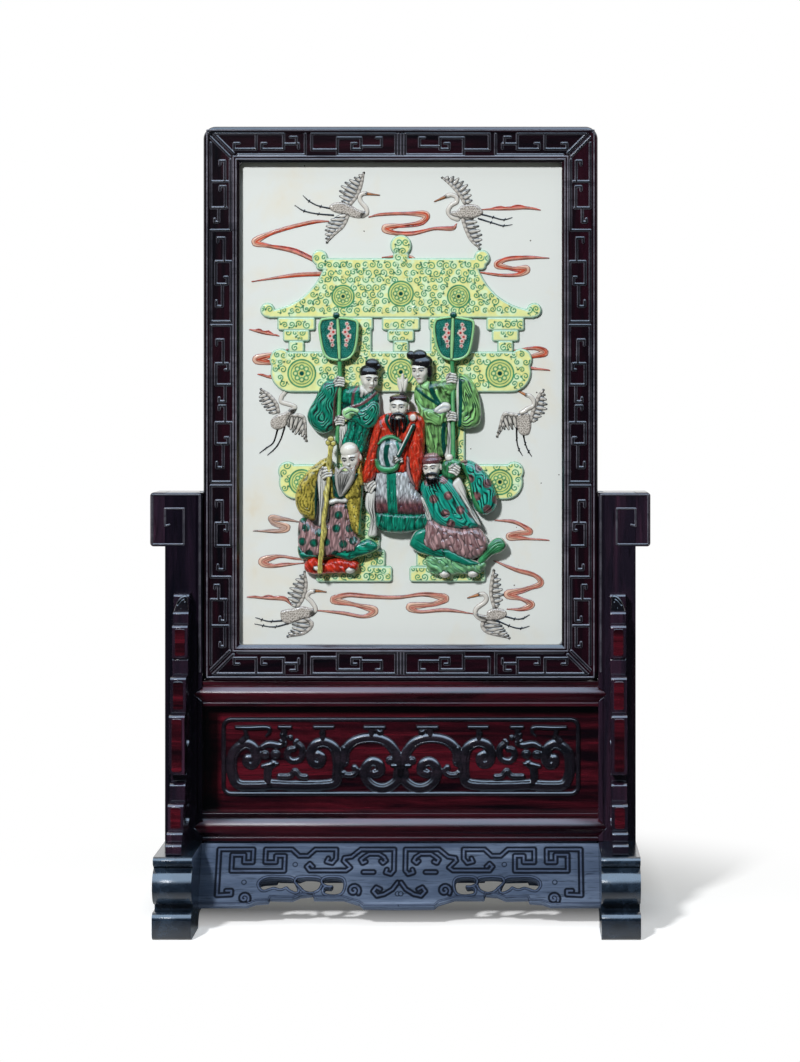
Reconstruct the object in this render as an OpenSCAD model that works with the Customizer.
// Chinese table screen: a relief porcelain plaque in a mitred hardwood frame that drops
// between the grooved posts of a carved stand. Millimetres, +Z up, front towards -Y,
// origin on the table under the middle of the stand.

/* [Picture frame] */
// Width of the picture frame
frame_w = 286; // [270:1:300]
// Height of the picture frame
frame_h = 402; // [385:1:430]
// Width of a frame member seen from the front
member_w = 26; // [25:0.5:30]
// Thickness of the frame from front to back
frame_t = 28; // [27:0.5:32]
// Radius of the outer corners
corner_r = 9; // [7:0.5:10]
// Width of the raised outer rim
rim_w = 4.5; // [4:0.25:6]
// Radius of the rounded front edge of the outer rim
rim_r = 2.5; // [2:0.25:3.5]
// Width of the raised inner rim
inner_rim_w = 4.5; // [4:0.25:6]
// Depth of the sunk fret band between the rims
band_sink = 1.2; // [0.8:0.1:1.6]
// Width of the bevel round the picture opening
sight_bevel = 2.5; // [1:0.25:3.5]
// Thickness of the lip in front of the plaque
lip_t = 9; // [8:0.25:10]
// How far the rebate reaches in behind the lip
rebate_d = 5; // [4:0.25:6]
// Width of the raised fret lines
fret_w = 1.5; // [1.2:0.1:1.8]
// Height of the fret lines above the sunk band
fret_h = 0.9; // [0.6:0.1:1.1]

/* [Plaque and back] */
// Thickness of the porcelain plaque
plaque_t = 9; // [8:0.25:9.5]
// Thickness of the back board
back_board_t = 6; // [5:0.25:7]
// Width of the strips that hold the back board
back_strip_w = 9; // [7:0.5:12]
// Thickness of the raised gateway behind the figures
gateway_t = 3; // [2:0.25:4]
// Width of a gateway post
gateway_post_w = 26; // [22:1:32]
// Distance between the middles of the two gateway posts
gateway_post_gap = 68; // [62:1:74]
// Radius of a fan pole
pole_r = 1.6; // [1.3:0.1:2]
// Height of a fan pole with its fan
pole_h = 94; // [90:1:98]
// Width of a fan
fan_w = 27; // [22:0.5:30]
// Height of a fan
fan_h = 29; // [25:0.5:32]
// Thickness of a fan at its rim
fan_t = 3.6; // [3.4:0.1:4]
// Depth of the dished leaf of a fan
fan_dish = 1.6; // [1:0.1:2]
// Width of the rim of a fan
fan_rim_w = 1.5; // [1:0.1:2]
// Radius of the corners of a fan
fan_corner_r = 6.5; // [5:0.25:7]
// Radius of the knob on a fan
fan_knob_r = 2.4; // [2:0.1:3]
// Radius of the walking staff
staff_r = 1.9; // [1.5:0.1:2.4]
// Radius of the knob on the walking staff
staff_knob_r = 3.2; // [2.6:0.1:3.6]

/* [Stand] */
// Length of a foot from front to back
foot_l = 170; // [160:1:185]
// Width of a foot
foot_w = 27.4; // [27:0.2:30]
// Height of a foot
foot_h = 57; // [54:0.5:60]
// Height of the plinth at each end of a foot
plinth_h = 19; // [16:0.5:20]
// Radius of the scroll drum at each end of a foot
drum_r = 13; // [12:0.25:14]
// Height of the arch under a foot
arch_h = 10; // [8:0.5:12]
// Length of the arch under a foot
arch_l = 84; // [70:1:90]
// Width of a post
post_w = 27; // [25:0.5:27]
// Thickness of a post from front to back
post_t = 34; // [33:0.5:38]
// Height of a post above its foot
post_h = 252.5; // [240:0.5:265]
// Height of the scroll head on a post
head_h = 39; // [34:0.5:44]
// How far the scroll head reaches out past its post
head_reach = 10.6; // [9:0.2:13]
// Radius of the outer corners of the scroll head
head_r = 2.5; // [1.5:0.25:3.5]
// Height of the lower cross rail
lower_rail_h = 20; // [18:0.5:22]
// Height of the upper cross rail
upper_rail_h = 18; // [16:0.5:20]
// Height of the opening between the rails
opening_h = 77.5; // [72:0.5:84]
// Thickness of a rail without its roll moulding
rail_t = 27; // [25:0.5:28]
// How far the roll moulding stands proud of a rail
roll_proud = 3; // [2:0.25:3]
// Height of the fillet above and below the roll
fillet_h = 2.4; // [1.8:0.2:3]
// How far the mitred end of a roll reaches into its post
mitre_reach = 6; // [4:0.5:8]
// Thickness of the carved panel
panel_t = 12; // [10:0.5:14]
// Height of the raised carving on the panel
carving_h = 2.4; // [1.6:0.2:3]
// Length of the carved cartouche
cartouche_l = 259; // [240:1:265]
// Height of the carved cartouche
cartouche_h = 56; // [52:0.5:60]
// Thickness of an apron
apron_t = 8; // [7:0.25:9]
// Height of an apron along its slope
apron_h = 50; // [46:0.5:50]
// Slope of an apron from upright
apron_tilt = 30; // [24:1:32]
// Thickness of a spandrel
spandrel_t = 11; // [9:0.25:13]
// Height of a spandrel
spandrel_h = 180; // [165:1:190]
// Reach of a spandrel from its post
spandrel_reach = 57; // [50:0.5:58]

/* [Joints] */
// Clearance of the framed panel between the posts
slide_gap = 0.3; // [0.2:0.05:0.4]
// Clearance under the framed panel
seat_gap = 0.2; // [0.1:0.05:0.3]
// Clearance of a tenon in its mortise
joint_gap = 0.1; // [0.05:0.05:0.2]
// Clearance round the plaque and the back board
plaque_gap = 0.8; // [0.5:0.1:1]
// Clearance between neighbouring relief pieces
lute_gap = 0.15; // [0.1:0.05:0.25]
// Depth of the tongue on the frame stiles
tongue_d = 4; // [3:0.25:5]
// Thickness of the tongue on the frame stiles
tongue_t = 10; // [8:0.5:11]
// Length of a rail tenon
rail_tenon_l = 14; // [10:0.5:16]
// Thickness of a rail tenon
rail_tenon_t = 8; // [6:0.5:9]
// Distance of a rail tenon from the rail's upper and lower faces
rail_tenon_inset = 4.5; // [4.2:0.1:5]
// Depth of a post tenon in its foot
post_tenon_l = 36; // [28:1:40]
// Depth of the tongue round the carved panel
panel_tongue_d = 3.5; // [2.5:0.25:4]
// Thickness of the tongue round the carved panel
panel_tongue_t = 6; // [5:0.25:7]
// Depth of an apron end in its foot
apron_tongue_d = 4; // [3:0.25:5]
// Length of a planted tenon
planted_l = 12; // [10:0.5:14]
// Thickness of a planted tenon
planted_t = 5; // [4:0.25:6]
// Width of a planted tenon
planted_w = 9; // [7:0.5:10]

/* [Hidden] */
$fn = 48;
eps = 0.01;

// Heights and places that follow from the sizes above
lower_rail_z = foot_h;
opening_z = lower_rail_z + lower_rail_h;
upper_rail_z = opening_z + opening_h;
seat_z = upper_rail_z + upper_rail_h;
frame_z = seat_z + seat_gap;
frame_mid_z = frame_z + frame_h / 2;
frame_front = -frame_t / 2;
plaque_face = frame_front + lip_t;
plaque_back = plaque_face + plaque_t;
strip_front = plaque_back + back_board_t;
sight_w = frame_w - 2 * member_w;
sight_h = frame_h - 2 * member_w;
rebate_w = sight_w + 2 * rebate_d;
rebate_h = sight_h + 2 * rebate_d;
post_inner = frame_w / 2 + slide_gap;
post_mid = post_inner + post_w / 2;
post_outer = post_inner + post_w;
post_top = foot_h + post_h;
foot_inner = post_mid - foot_w / 2;
roll_chord_trim = fillet_h + 0.8;

// Places of the planted tenons: heights above the foot, and reach from the post
spandrel_post_tenon_z = [0.32, 0.62] * spandrel_h;
spandrel_foot_tenon_y = 0.5 * spandrel_reach;

wood = [0.16, 0.06, 0.05];
red_wood = [0.30, 0.09, 0.07];
white_glaze = [0.86, 0.88, 0.85];
green_yellow = [0.72, 0.80, 0.36];
green_glaze = [0.10, 0.45, 0.30];
red_glaze = [0.72, 0.14, 0.08];
yellow_glaze = [0.72, 0.62, 0.18];

// Rectangle with round corners, its low corner at the origin
module rounded(w, h, r) {
    translate([r, 0]) square([w - 2 * r, h]);
    translate([0, r]) square([w, h - 2 * r]);
    for (x = [r, w - r], y = [r, h - r]) translate([x, y]) circle(r);
}

// Box from its low corner to its high corner
module span(low, high) {
    translate(low) cube(high - low);
}

// A flat shape drawn in X and Z, from depth y0 back to depth y1
module plate(y0, y1) {
    translate([0, y1, 0]) rotate([90, 0, 0]) linear_extrude(y1 - y0) children();
}

// A profile drawn in Y and Z, run along X from -l / 2 to l / 2
module run_along_x(l) {
    rotate([90, 0, 90]) linear_extrude(l, center = true) children();
}

// The left piece made from the right one
module left_hand() {
    mirror([1, 0, 0]) children();
}

// The back piece made from the front one
module back_hand() {
    mirror([0, 1, 0]) children();
}

// Section of a frame member: x is the way in from the outer edge, y the way back from the face
module member_section() {
    difference() {
        square([member_w, frame_t]);
        difference() {
            translate([-eps, -eps]) square(rim_r + eps);
            translate([rim_r, rim_r]) circle(rim_r);
        }
        translate([rim_w, -eps]) square([member_w - rim_w - inner_rim_w, band_sink + eps]);
        polygon([
            [member_w - sight_bevel, -eps], [member_w + eps, -eps], [member_w + eps, sight_bevel]
        ]);
        translate([member_w - rebate_d, lip_t]) square([rebate_d + eps, frame_t]);
    }
}

// The part of the section that follows the round corner
module outer_section() {
    intersection() {
        member_section();
        square([corner_r, frame_t]);
    }
}

// A mitred frame member of length l along X, with its outer edge at z = 0
module member(l) {
    translate([0, frame_front, 0]) {
        intersection() {
            rotate([0, -90, 0]) linear_extrude(l, center = true) difference() {
                member_section();
                translate([-eps, -eps]) square([corner_r + eps, frame_t + 2 * eps]);
            }
            plate(0, frame_t) polygon([
                [-l / 2, 0], [l / 2, 0], [l / 2 - member_w, member_w], [-l / 2 + member_w, member_w]
            ]);
        }
        rotate([0, -90, 0]) linear_extrude(l - 2 * corner_r, center = true) outer_section();
        for (side = [0, 1]) mirror([side, 0, 0])
            translate([-l / 2 + corner_r, 0, corner_r]) rotate([-90, 0, 0]) rotate([0, 0, 90])
                rotate_extrude(angle = 45) translate([corner_r, 0]) mirror([1, 0]) outer_section();
    }
}

// Tenons at both ends of a frame rail, grown by a clearance to cut their mortises
module frame_tenons(grow = 0) {
    reach = frame_w / 2 - rim_w - 1;
    start = frame_w / 2 - member_w - 1;
    for (side = [0, 1]) mirror([side, 0, 0])
        span(
            [start - grow, frame_front + lip_t + 2 - grow, corner_r + 1 - grow],
            [reach + grow, frame_front + lip_t + 10 + grow, member_w - rebate_d - 2 + grow]
        );
}

// One fret line as a bar from a to b, both in the plane of the fret band
module fret_bar(a, b) {
    low = [min(a[0], b[0]), min(a[1], b[1])] - [fret_w, fret_w] / 2;
    high = [max(a[0], b[0]), max(a[1], b[1])] + [fret_w, fret_w] / 2;
    translate(low) square(high - low);
}

// A fret line through a list of points
module fret_line(points) {
    for (i = [0 : len(points) - 2]) fret_bar(points[i], points[i + 1]);
}

// Fret lines of half a rail and half a stile, from the middle towards the mitred end. Each
// point is [place along the member, place across the band from the inner rim], as drawn on a
// member of half length fret_rail_half or fret_stile_half with a band fret_band wide.
fret_rail_half = 143;
fret_stile_half = 201;
fret_band = 17;
rail_fret = [
    [[1.2, 0.8], [1.2, 16.2]],
    [[28.6, 0.9], [3.4, 0.9], [3.4, 16.3], [64.4, 16.3], [64.4, 4.5], [46.2, 4.5]],
    [[28.6, 0.9], [45.7, 0.9], [45.7, 13.3], [28.6, 13.3], [28.6, 5], [35.3, 5], [35.3, 9.2], [32, 9.2]],
    [[28.6, 7], [13.8, 7], [13.8, 13.3], [17.5, 13.3]],
    [[117.7, 0.9], [69, 0.9], [69, 16.3]],
    [[84.7, 8.8], [75.4, 8.8], [75.4, 13.8], [79.8, 13.8]],
    [[73.9, 5.5], [73.9, 9]],
    [[134, 16.3], [84.7, 16.3], [84.7, 5], [100.6, 5], [100.6, 9.2], [97.5, 9.2]],
    [[104.6, 16.3], [104.6, 5], [120.6, 5], [120.6, 9.2], [117, 9.2]]
];
stile_fret = [
    [[0, 16.1], [56.8, 16.1], [56.8, 0.9], [13.7, 0.9], [13.7, 12.4], [29.1, 12.4], [29.1, 3.6]],
    [[29.1, 3.6], [24.6, 3.6], [24.6, 5.6]],
    [[42.5, 11.8], [46.3, 11.8], [46.3, 7], [29.1, 7]],
    [[13.7, 5.6], [1.5, 5.6], [1.5, 10], [4.3, 10]],
    [[59.5, 0.9], [59.5, 16.1], [125.7, 16.1], [125.7, 1.8], [177, 1.8]],
    [[59.5, 1.2], [103.1, 1.2], [103.1, 12.4], [86.6, 12.4], [86.6, 4.1], [91.8, 4.1], [91.8, 6]],
    [[117, 11], [120.2, 11], [120.2, 6.2], [103.1, 6.2]],
    [[86.6, 7.6], [70.5, 7.6], [70.5, 12], [74.6, 12]],
    [[142, 4.7], [142, 16.1], [189, 16.1]],
    [[161, 16.1], [161, 3.9]],
    [[161, 5.9], [176, 5.9], [176, 9.4], [173.2, 9.4]],
    [[142, 5.5], [157.5, 5.5], [157.5, 9.4], [154.7, 9.4]],
    [[142, 10.3], [131.6, 10.3], [131.6, 13.2], [134, 13.2]]
];

// Fret of one half of a member of half length half_l, from lines drawn at half length drawn_half
module half_fret(lines, drawn_half, half_l) {
    band = member_w - rim_w - inner_rim_w;
    for (line = lines) fret_line([
        for (p = line) [p[0] * half_l / drawn_half, member_w - inner_rim_w - p[1] * band / fret_band]
    ]);
}

// Raised fret on a member of length l that lies as module member makes it
module fret(l, lines, drawn_half) {
    plate(frame_front + band_sink - fret_h, frame_front + band_sink + eps)
        for (side = [0, 1]) mirror([side, 0]) half_fret(lines, drawn_half, l / 2);
}

module frame_rail() {
    member(frame_w);
    frame_tenons();
    fret(frame_w, rail_fret, fret_rail_half);
}

module frame_bottom_rail() {
    color(wood) translate([0, 0, frame_z]) frame_rail();
}

module frame_top_rail() {
    color(wood) translate([0, 0, frame_z + frame_h]) mirror([0, 0, 1]) frame_rail();
}

// The tongue that runs in the post's groove
module stile_tongue() {
    span(
        [-frame_w / 2 - tongue_d, -tongue_t / 2, frame_z + 2],
        [-frame_w / 2 + 1, tongue_t / 2, post_top - 4]
    );
}

module frame_left_stile() {
    color(wood) difference() {
        union() {
            translate([-frame_w / 2, 0, frame_mid_z]) rotate([0, 90, 0]) {
                member(frame_h);
                fret(frame_h, stile_fret, fret_stile_half);
            }
            stile_tongue();
        }
        translate([0, 0, frame_z]) frame_tenons(joint_gap);
        translate([0, 0, frame_z + frame_h]) mirror([0, 0, 1]) frame_tenons(joint_gap);
    }
}

module frame_right_stile() {
    left_hand() frame_left_stile();
}

// A board that lies in the rebate between two depths
module rebate_board(y0, y1) {
    w = rebate_w - 2 * plaque_gap;
    h = rebate_h - 2 * plaque_gap;
    span([-w / 2, y0, frame_mid_z - h / 2], [w / 2, y1, frame_mid_z + h / 2]);
}

module plaque() {
    color(white_glaze) rebate_board(plaque_face, plaque_back);
}

module back_board() {
    color(red_wood) rebate_board(plaque_back, strip_front);
}

// A mitred strip of outer length l, with its outer edge at z = 0
module back_strip(l) {
    color(wood) plate(strip_front, -frame_front) polygon([
        [-l / 2, 0], [l / 2, 0], [l / 2 - back_strip_w, back_strip_w], [-l / 2 + back_strip_w, back_strip_w]
    ]);
}

module back_strip_bottom() {
    translate([0, 0, frame_mid_z - rebate_h / 2]) back_strip(rebate_w);
}

module back_strip_top() {
    translate([0, 0, frame_mid_z + rebate_h / 2]) mirror([0, 0, 1]) back_strip(rebate_w);
}

module back_strip_left() {
    translate([-rebate_w / 2, 0, frame_mid_z]) rotate([0, 90, 0]) back_strip(rebate_h);
}

module back_strip_right() {
    left_hand() back_strip_left();
}

// Relief on the plaque. Its points are measured from the plaque's middle: x to the right,
// z up, and d the distance that a piece's middle stands out from the face.
function on_plaque(p) = [p[0], plaque_face - p[2], frame_mid_z + p[1]];

// Moves relief drawn about the origin to the plaque's middle and face
module at_plaque() {
    translate([0, plaque_face, frame_mid_z]) children();
}

// Beams of the gateway: [low, high, half length], and the levels of its foot, eaves and ridge
gateway_beams = [[8, 38, 80], [-70, -44, 76]];
gateway_foot_z = -130;
gateway_eave_z = 62;
gateway_ridge_z = 100;
gateway_eave_half = 97;
gateway_ridge_half = 56;
// Plinth courses of a gateway post: [low, high, width]
gateway_plinth = [[-130, -118, 56], [-119, -106, 46], [-107, -96, 38]];
// Bracket blocks under the eaves: middle of each, and [low, high, width] of its courses
gateway_brackets = [-76, -34, 0, 34, 76];
bracket_courses = [[37, 46, 12], [45, 54, 20], [53, 63, 28]];

// A gateway beam with cloud-scroll ends
module gateway_beam(low, high, half) {
    end_r = (high - low) / 2;
    translate([-half, low]) square([2 * half, high - low]);
    for (side = [-1, 1]) translate([side * half, (low + high) / 2]) {
        circle(end_r);
        translate([side * end_r * 0.5, end_r * 0.6]) circle(end_r * 0.55);
    }
}

// The gateway's roof: a ridge over two hollow slopes that curl up at the eaves
module gateway_roof() {
    eave = [gateway_eave_half, gateway_eave_z + 6];
    ridge = [gateway_ridge_half, gateway_ridge_z];
    chord = norm(ridge - eave);
    sag = 8;
    slope_r = (chord * chord / 4 + sag * sag) / (2 * sag);
    slope_mid = (eave + ridge) / 2 + (slope_r - sag) / chord * [ridge[1] - eave[1], eave[0] - ridge[0]];
    difference() {
        translate([-eave[0], gateway_eave_z]) square([2 * eave[0], gateway_ridge_z - gateway_eave_z]);
        for (side = [-1, 1]) translate([side * slope_mid[0], slope_mid[1]]) circle(slope_r);
    }
    for (side = [-1, 1]) {
        translate([side * eave[0], eave[1]]) circle(5.5);
        translate([side * (ridge[0] + 3), ridge[1] + 6]) circle(6);
    }
    translate([-ridge[0] - 6, ridge[1] - 3]) rounded(2 * ridge[0] + 12, 9, 3);
    translate([-6, ridge[1]]) rounded(12, 10, 2);
    translate([0, ridge[1] + 15]) circle(8);
}

// Outline of a roofed gateway of two posts on plinths
module gateway_outline() {
    for (side = [-1, 1]) {
        middle = side * gateway_post_gap / 2;
        translate([middle - gateway_post_w / 2, gateway_foot_z])
            square([gateway_post_w, gateway_eave_z + 1 - gateway_foot_z]);
        for (c = gateway_plinth) translate([middle - c[2] / 2, c[0]]) rounded(c[2], c[1] - c[0], 2.5);
    }
    for (beam = gateway_beams) gateway_beam(beam[0], beam[1], beam[2]);
    for (x = gateway_brackets, c = bracket_courses)
        translate([x - c[2] / 2, c[0]]) rounded(c[2], c[1] - c[0], 2);
    gateway_roof();
}

module relief_gateway() {
    color(green_yellow) at_plaque() plate(-gateway_t, 0) gateway_outline();
}

// One smooth form drawn round a list of balls, each [x, z, d, r]
module form(balls, grow) {
    hull() {
        for (p = balls) translate(on_plaque(p)) sphere(p[3] + grow, $fn = 12);
    }
}

// A figure made of forms, cut off flat at the plaque and fitted over the gateway
module figure(forms, grow = 0) {
    difference() {
        for (balls = forms) form(balls, grow);
        translate([-frame_w / 2, plaque_face, 0]) cube([frame_w, frame_t, frame_z + frame_h]);
        at_plaque() plate(-gateway_t - lute_gap, eps) offset(delta = lute_gap) gateway_outline();
    }
}

// The two attendants: robe, sleeves, forearm, hands, head, neck, hair
left_attendant_forms = [
    [[-32, 6, 5, 7], [-20, 6, 5, 7], [-34, -30, 5, 8], [-24, -36, 5, 8]],
    [[-46, 11, 5, 5.5], [-57, -8, 4.5, 8], [-55, -13, 4.5, 7], [-50, -6, 5, 6]],
    [[-38, 9, 5, 6], [-47, 9, 5, 5]],
    [[-20, -2, 8, 5], [-36, -6, 9, 4]],
    [[-44.5, 15.5, 8.5, 3.4], [-47, 12, 7, 3.4]],
    [[-44.5, -12, 8.5, 3.4], [-38, -7, 9, 3.6]],
    [[-22.5, 19.5, 9, 6.6], [-22, 22, 8.5, 6.8]],
    [[-24, 12, 7, 4], [-23.5, 8, 6, 6]],
    [[-21.5, 29, 8, 5], [-24, 27.5, 8, 5.4]],
    [[-41, -17, 7, 3.2], [-42, -28, 6, 2.6]]
];
right_attendant_forms = [
    [[14, 6, 5, 7], [30, 9, 5, 6], [19, -32, 5, 7], [32, -32, 5, 7]],
    [[44, 13, 5, 5], [51, 6, 5, 6], [51, -9, 4.5, 6.5], [47, -10, 4.5, 5]],
    [[30, 12, 5, 6], [44, 12, 5, 5]],
    [[24, -2, 8, 5], [31, -3, 9, 4.2]],
    [[37.8, 18.5, 8.5, 3.4], [41, 14, 7, 3.4]],
    [[37.8, -9.5, 8.5, 3.4], [31, -4, 9, 3.6]],
    [[12.8, 24.5, 9, 6.6], [13.2, 27, 8.5, 6.8]],
    [[16, 15, 7, 4.2], [17, 11, 6, 6]],
    [[12, 34, 8, 5.6], [15, 32, 7.5, 5.6]],
    [[5.5, 36, 8.5, 3.8], [9, 36.5, 8.5, 4]],
    [[34.5, -14, 7.5, 3], [34, -28, 6, 2.6]]
];

// The official in the middle: robe, sleeves, belt hoop, skirt, hem, shoes, head, hat, beard,
// hands, hanging cloth and sceptre
centre_forms = [
    [[-13, -16, 8, 7], [11, -13, 8, 7], [-10, -40, 9, 9], [8, -40, 9, 9]],
    [[-15, -16, 8, 6.5], [-20, -38, 7.5, 7], [-24, -52, 7, 5]],
    [[12, -13, 8, 6.5], [16, -36, 8, 6.5], [11, -58, 7, 4]],
    [[-8, -34, 12, 9], [-7, -42, 12, 9]],
    [[-11, -50, 8, 8], [9, -48, 8, 8], [-9, -76, 7, 8], [12, -76, 7, 8]],
    [[-12, -84, 6, 6.5], [16, -83, 6, 6.5]],
    [[-13, -88, 9, 3.6], [-13, -87, 6, 3.6]],
    [[11, -89, 9, 3.6], [11, -88, 6, 3.6]],
    [[-1.8, -3, 12, 7], [-1.8, -0.5, 11.5, 7.2]],
    [[-4, 5, 11.5, 4.6], [1, 5, 11.5, 4.6]],
    [[-0.5, 10, 10, 2.6], [-0.4, 17.5, 10, 2.2]],
    [[-2, -11, 13.5, 3.4], [-2.5, -19, 14, 1.6]],
    [[-22, -59, 9, 4], [-20, -66, 9, 3], [-21, -92, 7, 3]],
    [[10.2, -9.8, 14, 3], [-1, -40, 19, 2.6]]
];

// The two elders in front: robe, sleeves, skirt, hems, base, shoes, head, beard and hands
left_elder_forms = [
    [[-52, -46, 7, 7], [-62, -60, 6.5, 8.5], [-68, -66, 5.5, 7], [-62, -77, 6, 6.5]],
    [[-46, -48, 8, 9], [-34, -50, 8, 8], [-44, -72, 9, 9], [-34, -72, 9, 8]],
    [[-31, -52, 8, 5], [-30, -90, 8, 3.4], [-35, -88, 8, 3.4], [-36, -56, 8, 5]],
    [[-57, -50, 11, 4], [-57, -84, 9, 3]],
    [[-54, -74, 8, 8], [-42, -74, 9, 8], [-64, -104, 7, 7], [-40, -104, 8, 8]],
    [[-42, -104, 8, 6], [-20, -105, 6, 3.6]],
    [[-67, -106, 6, 5.5], [-45, -107, 8, 6.5]],
    [[-66, -117, 5.5, 4.5], [-36, -117, 6, 4.5]],
    [[-60, -119, 9, 3.8], [-60, -118, 5, 3.8]],
    [[-37, -119.5, 9, 3.8], [-37, -118.5, 5, 3.8]],
    [[-37.5, -36.5, 12.5, 7.4], [-39, -41, 12.5, 6.6]],
    [[-41, -48, 14.5, 5], [-43.5, -62, 14.5, 2]],
    [[-53, -49.5, 17, 4], [-57, -46, 12, 4]]
];
right_elder_forms = [
    [[22, -56, 9, 7], [34, -50, 8, 8], [26, -74, 9, 9], [40, -80, 8, 8]],
    [[46, -48, 7, 7], [60, -62, 6, 8], [62, -70, 6, 7.5], [50, -74, 6.5, 6]],
    [[40, -50, 12, 4.5], [50, -74, 9, 4]],
    [[18, -66, 9, 5], [24, -80, 10, 7], [42, -88, 9, 6]],
    [[24, -92, 9, 7], [44, -96, 8, 8], [56, -102, 7, 6]],
    [[10, -101, 8, 4.5], [26, -107, 9, 5]],
    [[58, -110, 6, 5], [72, -104, 6, 3.6]],
    [[22, -116, 6, 5.5], [58, -116, 6, 5.5], [40, -112, 7, 6]],
    [[32, -121, 9, 3.4], [32, -120, 5, 3.4]],
    [[52, -121, 9, 3.4], [52, -120, 5, 3.4]],
    [[23, -45, 12.5, 6.8], [22.5, -42.5, 12.5, 7]],
    [[19, -36.5, 12, 4.8], [26, -36.5, 12, 4.8]],
    [[22, -54, 14, 3.4], [21.5, -60, 14, 1.8]],
    [[34, -45, 12, 4.4], [39.5, -47.5, 14, 3.8]]
];

// Outline of a fan about its middle, widest near the top
module fan_outline(inset = 0) {
    hull() {
        for (side = [-1, 1]) {
            translate([side * (fan_w / 2 - fan_corner_r), fan_h / 2 - fan_corner_r])
                circle(fan_corner_r - inset, $fn = 24);
            translate([side * (fan_w * 0.39 - fan_corner_r), fan_corner_r - fan_h / 2])
                circle(fan_corner_r - inset, $fn = 24);
        }
    }
}

// A long-handled fan on the point [x, z, d]: a dished leaf with a raised rim and a knob
module fan(foot, grow = 0) {
    color(green_glaze) translate(on_plaque(foot)) {
        translate([0, 0, -grow]) cylinder(h = pole_h + 2 * grow, r = pole_r + grow);
        translate([0, 0, pole_h]) sphere(fan_knob_r + grow);
        translate([0, 0, pole_h - fan_h / 2]) {
            plate(-fan_t / 2 + fan_dish - grow, fan_t / 2 + grow) fan_outline(-grow);
            plate(-fan_t / 2 - grow, 0) difference() {
                fan_outline(-grow);
                fan_outline(fan_rim_w + grow);
            }
        }
    }
}

// Lower ends of the two fan poles, each [x, z, d]
fan_left_foot = [-44.6, -29, 8.5];
fan_right_foot = [38, -38, 8.5];

// The walking staff runs from its foot to its head, both [x, z, d]
staff_foot = [-57.9, -121.5, 17];
staff_head = [-51.2, -26.4, 17];
staff_length = norm(staff_head - staff_foot);
staff_lean = atan2(staff_head[0] - staff_foot[0], staff_head[1] - staff_foot[1]);

module staff_shape(grow = 0) {
    translate(on_plaque(staff_foot)) rotate([0, staff_lean, 0]) {
        translate([0, 0, -grow]) cylinder(h = staff_length + 2 * grow, r = staff_r + grow);
        translate([0, 0, staff_length]) sphere(staff_knob_r + grow);
    }
}

module fan_left() {
    fan(fan_left_foot);
}

module fan_right() {
    fan(fan_right_foot);
}

module staff() {
    color(yellow_glaze) staff_shape();
}

module figure_left_elder() {
    color(yellow_glaze) difference() {
        figure(left_elder_forms);
        staff_shape(lute_gap);
    }
}

module figure_right_elder() {
    color(green_glaze) difference() {
        figure(right_elder_forms);
        fan(fan_right_foot, lute_gap);
    }
}

module figure_centre() {
    color(red_glaze) difference() {
        figure(centre_forms);
        figure(left_elder_forms, lute_gap);
        figure(right_elder_forms, lute_gap);
    }
}

module figure_left_attendant() {
    color(green_glaze) difference() {
        figure(left_attendant_forms);
        figure(centre_forms, lute_gap);
        figure(left_elder_forms, lute_gap);
        fan(fan_left_foot, lute_gap);
        staff_shape(lute_gap);
    }
}

module figure_right_attendant() {
    color(green_glaze) difference() {
        figure(right_attendant_forms);
        figure(centre_forms, lute_gap);
        figure(right_elder_forms, lute_gap);
        fan(fan_right_foot, lute_gap);
    }
}

// Section of a cross rail: a roll between two fillets, front and back
module rail_section(h) {
    chord = h - 2 * roll_chord_trim;
    roll_r = (chord * chord / 4 + roll_proud * roll_proud) / (2 * roll_proud);
    translate([-rail_t / 2, 0]) square([rail_t, h]);
    for (side = [-1, 1]) {
        intersection() {
            translate([side * (rail_t / 2 + roll_proud - roll_r), h / 2]) circle(roll_r);
            translate([side * rail_t / 2 - rail_t / 2, 0]) square([rail_t, h]);
        }
        for (z = [0, h - fillet_h]) translate([side * 1.2 - rail_t / 2, z]) square([rail_t, fillet_h]);
    }
}

// The pointed shoulders where the roll mitres into the posts
module mitre_points(h) {
    low = roll_chord_trim + mitre_inset;
    high = h - low;
    reach = post_inner + mitre_reach;
    polygon([
        [-post_inner, low], [-reach, h / 2], [-post_inner, high],
        [post_inner, high], [reach, h / 2], [post_inner, low]
    ]);
}

// Depth at which the mitred shoulders start, and how far they keep inside the roll
shoulder_y = rail_t / 2 - 3;
mitre_inset = 0.6;

// What is cut from one end of a rail: all but the pointed shoulders in front and behind
module rail_end_cut(h) {
    difference() {
        span([post_inner, -rail_t, -1], [post_inner + mitre_reach + 1, rail_t, h + 1]);
        for (side = [0, 1]) mirror([0, side, 0])
            plate(-rail_t - 1, -shoulder_y) mitre_points(h);
    }
}

// A cross rail of height h that stands on z = 0
module rail(h) {
    difference() {
        run_along_x(2 * (post_inner + mitre_reach)) rail_section(h);
        for (side = [0, 1]) mirror([side, 0, 0]) rail_end_cut(h);
    }
    rail_tenons(h);
}

module rail_tenons(h, grow = 0) {
    for (side = [0, 1]) mirror([side, 0, 0]) span(
        [post_inner - 1 - grow, -rail_tenon_t / 2 - grow, rail_tenon_inset - grow],
        [post_inner + rail_tenon_l + grow, rail_tenon_t / 2 + grow, h - rail_tenon_inset + grow]
    );
}

// The board of the carved panel with its tongue
module panel_board(grow = 0) {
    reach = panel_tongue_d;
    half = panel_tongue_t / 2 + grow;
    span(
        [-post_inner - reach - grow, -half, opening_z - reach - grow],
        [post_inner + reach + grow, half, upper_rail_z + reach + grow]
    );
}

module upper_rail() {
    color(wood) difference() {
        translate([0, 0, upper_rail_z]) rail(upper_rail_h);
        panel_board(joint_gap);
    }
}

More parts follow.
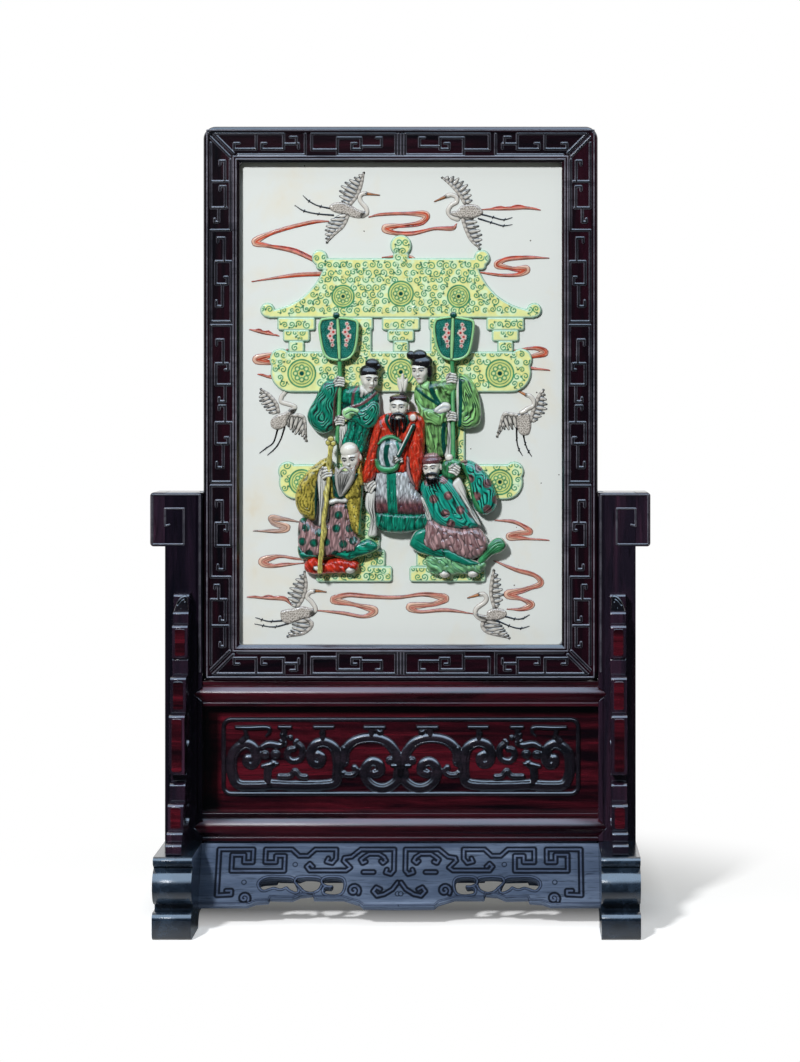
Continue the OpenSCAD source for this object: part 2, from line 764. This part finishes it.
module lower_rail() {
    color(wood) difference() {
        translate([0, 0, lower_rail_z]) rail(lower_rail_h);
        panel_board(joint_gap);
    }
}

// Carved scrolls of the right half of the cartouche, from its middle, as drawn on a cartouche
// scroll_drawn_l long: each band runs smoothly through its points
scroll_drawn_l = 259;
scroll_w = 3.8;
scroll_cuts = 4;
scroll_bands = [
    [[123, -18], [124, -8], [123, 1], [116.2, 8.2], [108.4, 2], [109.6, -5], [115, -6.4]],
    [[102.8, 7.4], [98.4, 9.3], [93.9, 9.6]],
    [[97.5, -1.6], [96.9, -8.2], [97.2, -17.5]],
    [[84, 9], [80, 10], [76.2, 6], [79, 1.2], [83, 2.4]],
    [[86.5, -17.5], [84, -11], [78.4, -8], [72.6, -11], [70, -17.5]],
    [[49, -18], [48.7, -8.2], [48.9, 7.6], [56.8, 13], [67, 6], [67.4, -3], [60.6, -5.6], [58.4, -0.4]],
    [[43.5, 1], [40.5, 9.6], [30.5, 14.6], [21.5, 15], [12, 11], [5, 3], [1, -4.6]],
    [[3.6, -9], [8, -18.2], [18, -20.6], [27, -17], [29, -9], [24.9, -2.6], [18.6, -4], [18.6, -10]],
    [[42.5, -18], [42.6, -12], [38.5, -9], [34.4, -12.5]]
];
// Round bosses of the right half: [x, y, radius]
scroll_bosses = [
    [101.4, 2.2, 3.3], [92.9, 1.9, 3.3], [114.7, 15.4, 3], [85, 15.6, 3], [56.8, 18, 3],
    [42.2, 3.4, 3.4], [17, 17.6, 3], [9.3, -3, 3.8]
];
// Flat bars of the right half: [from x, to x, middle y]
scroll_bars = [
    [97, 122, 20.8], [79, 87, 20.6], [50, 63, 21], [15, 28, 21], [94, 122, -19.6], [46, 95, -19.6]
];

// Point at share t of the smooth curve between b and c, with a before and d after them
function spline_point(a, b, c, d, t) = (
    2 * b + (c - a) * t + (2 * a - 5 * b + 4 * c - d) * t * t + (3 * b - a - 3 * c + d) * t * t * t
) / 2;

// Smooth line through the points, with cuts steps between two of them
function spline(points, cuts) = [
    for (i = [0 : len(points) - 2], k = [0 : cuts - 1]) spline_point(
        points[max(i - 1, 0)], points[i], points[i + 1], points[min(i + 2, len(points) - 1)], k / cuts
    ),
    points[len(points) - 1]
];

// Unit vector to the left of a line at its point i
function left_of(line, i) =
    let (d = line[min(i + 1, len(line) - 1)] - line[max(i - 1, 0)]) [-d[1], d[0]] / norm(d);

// A flat band of width w along the smooth line through the points
module band(points, w) {
    line = spline(points, scroll_cuts);
    last = len(line) - 1;
    polygon([
        for (i = [0 : last]) line[i] + left_of(line, i) * w / 2,
        for (i = [last : -1 : 0]) line[i] - left_of(line, i) * w / 2
    ]);
}

// One half of the carved scrolls, from the middle of the cartouche to its right end
module half_scrolls() {
    long = cartouche_l / scroll_drawn_l;
    for (points = scroll_bands) band([for (p = points) [p[0] * long, p[1]]], scroll_w);
    for (b = scroll_bosses) translate([b[0] * long, b[1]]) circle(b[2]);
    for (b = scroll_bars) translate([b[0] * long, b[2] - scroll_w / 2])
        rounded((b[1] - b[0]) * long, scroll_w, scroll_w / 3);
}

// Bead round the cartouche, its corner radius, and the bar that links the two halves
cartouche_bead = 2.4;
cartouche_r = 6;
link_l = 9;
link_y = 4;

module cartouche() {
    difference() {
        translate([-cartouche_l, -cartouche_h] / 2) rounded(cartouche_l, cartouche_h, cartouche_r);
        translate([cartouche_bead, cartouche_bead] - [cartouche_l, cartouche_h] / 2) rounded(
            cartouche_l - 2 * cartouche_bead, cartouche_h - 2 * cartouche_bead, cartouche_r - cartouche_bead
        );
    }
    for (side = [0, 1]) mirror([side, 0]) half_scrolls();
    translate([-link_l, -link_y - scroll_w / 2]) square([2 * link_l, scroll_w]);
}

module carved_panel() {
    middle_z = opening_z + opening_h / 2;
    color(red_wood) {
        panel_board();
        span([-post_inner, -panel_t / 2, opening_z], [post_inner, panel_t / 2, upper_rail_z]);
        for (side = [0, 1]) mirror([0, side, 0]) translate([0, 0, middle_z + 1.2])
            plate(-panel_t / 2 - carving_h, -panel_t / 2 + eps) cartouche();
    }
}

// The square scroll head that is glued to the outside of a post
module right_post_head() {
    color(red_wood) difference() {
        plate(-post_t / 2, post_t / 2) translate([post_outer, post_top - head_h]) intersection() {
            translate([-2 * head_r, 0]) rounded(head_reach + 2 * head_r, head_h, head_r);
            square([head_reach, head_h]);
        }
        head_tenon(joint_gap);
    }
}

module left_post_head() {
    left_hand() right_post_head();
}

// Planted tenon between a post and its scroll head
module head_tenon(grow = 0) {
    middle = post_top - head_h / 2;
    span(
        [post_outer - planted_l / 2 - grow, -planted_w / 2 - grow, middle - planted_t / 2 - grow],
        [post_outer + planted_l / 2 + grow, planted_w / 2 + grow, middle + planted_t / 2 + grow]
    );
}

// Planted tenons of the right front spandrel
module spandrel_tenons(grow = 0) {
    half = [planted_t / 2 + grow, planted_l / 2 + grow, planted_w / 2 + grow];
    for (z = spandrel_post_tenon_z) translate([post_mid, -post_t / 2, foot_h + z]) span(-half, half);
    upright = [half[0], half[2], half[1]];
    translate([post_mid, -post_t / 2 - spandrel_foot_tenon_y, foot_h]) span(-upright, upright);
}

module right_tenons(grow = 0) {
    head_tenon(grow);
    for (side = [0, 1]) mirror([0, side, 0]) spandrel_tenons(grow);
}

module planted_tenons() {
    color(red_wood) for (side = [0, 1]) mirror([side, 0, 0]) right_tenons();
}

// The tenon that stands in the foot
module post_tenon(grow = 0) {
    half_w = post_w / 2 - 6;
    half_t = post_t / 2 - 6;
    span(
        [post_mid - half_w - grow, -half_t - grow, foot_h - post_tenon_l - grow],
        [post_mid + half_w + grow, half_t + grow, foot_h + 1]
    );
}

module right_post() {
    color(wood) difference() {
        union() {
            span([post_inner, -post_t / 2, foot_h], [post_outer, post_t / 2, post_top]);
            post_tenon();
        }
        span(
            [post_inner - 1, -tongue_t / 2 - slide_gap, seat_z],
            [post_inner + tongue_d, tongue_t / 2 + slide_gap, post_top + 1]
        );
        panel_board(joint_gap);
        for (level = [[lower_rail_z, lower_rail_h], [upper_rail_z, upper_rail_h]])
            translate([0, 0, level[0]]) {
                rail_tenons(level[1], joint_gap);
                for (side = [0, 1]) mirror([0, side, 0])
                    plate(-post_t, -shoulder_y) mitre_points(level[1]);
            }
        for (side = [-1, 1]) translate([post_inner + 3.4, side * post_t / 2, 0])
            span([0, -0.8, foot_h - 1], [1, 0.8, post_top + 1]);
        right_tenons(joint_gap);
    }
}

module left_post() {
    left_hand() right_post();
}

// Side view of a foot from its middle to one end
module half_foot_section() {
    end = foot_l / 2;
    waist = end - drum_r - 6;
    top_roll_r = 3.4;
    difference() {
        union() {
            square([waist, foot_h]);
            translate([waist - 30, 0]) rounded(end - waist + 30, plinth_h, 5);
            translate([0, plinth_h]) square([waist + 4, 5]);
            translate([end - drum_r - 1, plinth_h + 4 + drum_r]) circle(drum_r);
            translate([0, plinth_h + 12]) square([end - 10, foot_h - plinth_h - 14]);
            translate([0, foot_h - 2 * top_roll_r]) square([end - 9, 2 * top_roll_r]);
            translate([end - 9, foot_h - top_roll_r]) circle(top_roll_r);
        }
        translate([-eps, -eps]) square([arch_l / 2 - arch_h + eps, arch_h + eps]);
        translate([arch_l / 2 - arch_h, 0]) circle(arch_h);
    }
}

module right_foot() {
    color(wood) difference() {
        translate([post_mid, 0, 0]) run_along_x(foot_w)
            for (side = [0, 1]) mirror([side, 0]) half_foot_section();
        post_tenon(joint_gap);
        right_tenons(joint_gap);
        for (side = [0, 1]) mirror([0, side, 0]) apron_slope() plate(-apron_t - joint_gap, joint_gap)
            translate([-foot_inner - apron_tongue_d - joint_gap, -apron_h])
                square([2 * (foot_inner + apron_tongue_d + joint_gap), apron_h + 20]);
    }
}

module left_foot() {
    left_hand() right_foot();
}

// Moves an apron drawn upright about its top edge to its slope under the lower rail
module apron_slope() {
    translate([0, -rail_t / 2 + 4, foot_h]) rotate([-apron_tilt, 0, 0]) children();
}

// Lower edge of an apron: [from x, to x, depth below the top edge] for the right half
apron_steps = [[-1, 25, 50], [20, 37, 44], [36, 60, 43.5], [58, 76, 41.5], [74, 90, 44], [88, 146, 49]];
// Pierced slots of the right half: [from x, to x, from depth, to depth]
apron_slots = [[44, 55, 30.5, 40], [59, 74, 30, 38], [78, 95, 31.5, 40]];

module apron_outline() {
    end = foot_inner + apron_tongue_d;
    difference() {
        union() {
            translate([-end, -34]) square([2 * end, 34 + 20]);
            for (side = [0, 1]) mirror([side, 0]) for (s = apron_steps)
                translate([s[0], -s[2] * apron_h / 50])
                    rounded(min(s[1], end) - s[0], 30, 2.5);
        }
        for (side = [0, 1]) mirror([side, 0]) for (s = apron_slots)
            translate([s[0], -s[3]]) rounded(s[1] - s[0], s[3] - s[2], 3);
    }
}

module front_apron() {
    color(wood) intersection() {
        apron_slope() plate(-apron_t, 0) apron_outline();
        span([-post_outer, -foot_l, -apron_h], [post_outer, foot_l, foot_h]);
    }
}

module back_apron() {
    back_hand() front_apron();
}

// Stepped edge of a spandrel: [low, high, reach], the first two as shares of the height
// and the last as a share of the reach
spandrel_steps = [
    [0, 0.045, 1], [0.042, 0.085, 0.88], [0.08, 0.19, 0.79], [0.186, 0.262, 0.6],
    [0.258, 0.302, 0.48], [0.298, 0.535, 0.68], [0.532, 0.68, 0.55], [0.676, 0.75, 0.33],
    [0.746, 0.88, 0.38], [0.876, 0.932, 0.29], [0.928, 1, 0.22]
];

module spandrel_outline() {
    difference() {
        for (s = spandrel_steps) translate([-6, s[0] * spandrel_h]) intersection() {
            rounded(6 + s[2] * spandrel_reach, (s[1] - s[0]) * spandrel_h, 2.4);
            translate([6, 0]) square([spandrel_reach, spandrel_h]);
        }
        translate([0.2 * spandrel_reach, 0.09 * spandrel_h])
            rounded(0.38 * spandrel_reach, 0.08 * spandrel_h, 4);
        translate([0.2 * spandrel_reach, 0.4 * spandrel_h])
            rounded(0.26 * spandrel_reach, 0.13 * spandrel_h, 4);
    }
}

module spandrel_front_right() {
    color(red_wood) difference() {
        translate([post_mid, -post_t / 2, foot_h]) rotate([90, 0, -90])
            linear_extrude(spandrel_t, center = true) spandrel_outline();
        spandrel_tenons(joint_gap);
    }
}

module spandrel_front_left() {
    left_hand() spandrel_front_right();
}

module spandrel_back_right() {
    back_hand() spandrel_front_right();
}

module spandrel_back_left() {
    left_hand() back_hand() spandrel_front_right();
}

plaque();
relief_gateway();
figure_centre();
figure_left_elder();
figure_right_elder();
figure_left_attendant();
figure_right_attendant();
fan_left();
fan_right();
staff();
frame_top_rail();
frame_bottom_rail();
frame_left_stile();
frame_right_stile();
back_board();
back_strip_top();
back_strip_bottom();
back_strip_left();
back_strip_right();
left_post();
right_post();
left_post_head();
right_post_head();
left_foot();
right_foot();
upper_rail();
lower_rail();
carved_panel();
front_apron();
back_apron();
spandrel_front_left();
spandrel_front_right();
spandrel_back_left();
spandrel_back_right();
planted_tenons();
